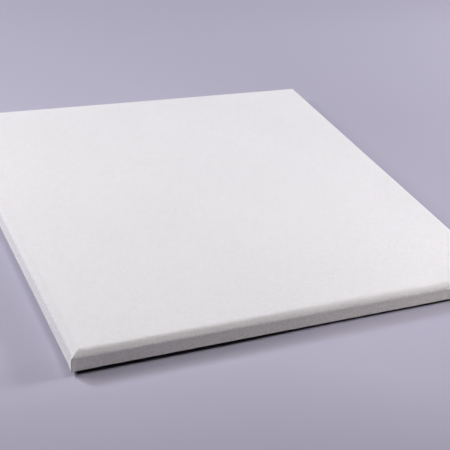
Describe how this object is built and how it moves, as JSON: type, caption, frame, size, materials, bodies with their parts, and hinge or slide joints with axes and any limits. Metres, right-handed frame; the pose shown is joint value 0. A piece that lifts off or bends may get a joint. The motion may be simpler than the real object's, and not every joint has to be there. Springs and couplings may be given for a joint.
{
  "type": "fabric acoustic panel",
  "caption": "Square acoustic wall panel: mineral wool in a mitred timber frame under stretched white fabric with bevelled front edges, dust-covered back, rubber bumpers and D-ring hangers.",
  "frame": {"origin": "under the middle of the back, level with the feet of the four rubber bumpers", "axes": "+Z out of the fabric front, away from the wall or bench; +Y towards the edge that hangs uppermost; +X to the right seen from the front"},
  "size_m": [0.6, 0.6, 0.029],
  "materials": {
    "white_fabric": "matte",
    "fleece": "matte",
    "mineral_wool": "matte",
    "timber": "matte",
    "black_felt": "matte",
    "rubber": "matte",
    "zinc_plated_steel": "satin",
    "staple_steel": "satin"
  },
  "bodies": {
    "panel": {"fabric_cover": "white_fabric", "face_liner": "fleece", "wool_core": "mineral_wool", "rail_top": "timber", "rail_bottom": "timber", "rail_left": "timber", "rail_right": "timber", "corner_block_top_right": "timber", "corner_block_top_left": "timber", "corner_block_bottom_left": "timber", "corner_block_bottom_right": "timber", "block_screw_top_right_a": "zinc_plated_steel", "block_screw_top_right_b": "zinc_plated_steel", "block_screw_top_left_a": "zinc_plated_steel", "block_screw_top_left_b": "zinc_plated_steel", "block_screw_bottom_left_a": "zinc_plated_steel", "block_screw_bottom_left_b": "zinc_plated_steel", "block_screw_bottom_right_a": "zinc_plated_steel", "block_screw_bottom_right_b": "zinc_plated_steel", "dust_cover": "black_felt", "hanger_strap_left": "zinc_plated_steel", "hanger_strap_right": "zinc_plated_steel", "hanger_screw_left_upper": "zinc_plated_steel", "hanger_screw_left_lower": "zinc_plated_steel", "hanger_screw_right_upper": "zinc_plated_steel", "hanger_screw_right_lower": "zinc_plated_steel", "bumper_top_right": "rubber", "bumper_top_left": "rubber", "bumper_bottom_left": "rubber", "bumper_bottom_right": "rubber", "bumper_screw_top_right": "zinc_plated_steel", "bumper_screw_top_left": "zinc_plated_steel", "bumper_screw_bottom_left": "zinc_plated_steel", "bumper_screw_bottom_right": "zinc_plated_steel", "staple_bottom_1": "staple_steel", "staple_bottom_2": "staple_steel", "staple_bottom_3": "staple_steel", "staple_bottom_4": "staple_steel", "staple_bottom_5": "staple_steel", "staple_right_1": "staple_steel", "staple_right_2": "staple_steel", "staple_right_3": "staple_steel", "staple_right_4": "staple_steel", "staple_right_5": "staple_steel", "staple_top_1": "staple_steel", "staple_top_2": "staple_steel", "staple_top_3": "staple_steel", "staple_top_4": "staple_steel", "staple_top_5": "staple_steel", "staple_left_1": "staple_steel", "staple_left_2": "staple_steel", "staple_left_3": "staple_steel", "staple_left_4": "staple_steel", "staple_left_5": "staple_steel"},
    "ring_left": {"hanger_ring_left": "zinc_plated_steel"},
    "ring_right": {"hanger_ring_right": "zinc_plated_steel"}
  },
  "joints": [
    {"name": "ring_left_swing", "type": "hinge", "parent": "panel", "child": "ring_left", "pos_m": [-0.2838, 0.17, 0.00215], "axis": [-1, 0, 0], "range_deg": [-10, 170]},
    {"name": "ring_right_swing", "type": "hinge", "parent": "panel", "child": "ring_right", "pos_m": [0.2838, 0.17, 0.00215], "axis": [-1, 0, 0], "range_deg": [-10, 170]}
  ]
}
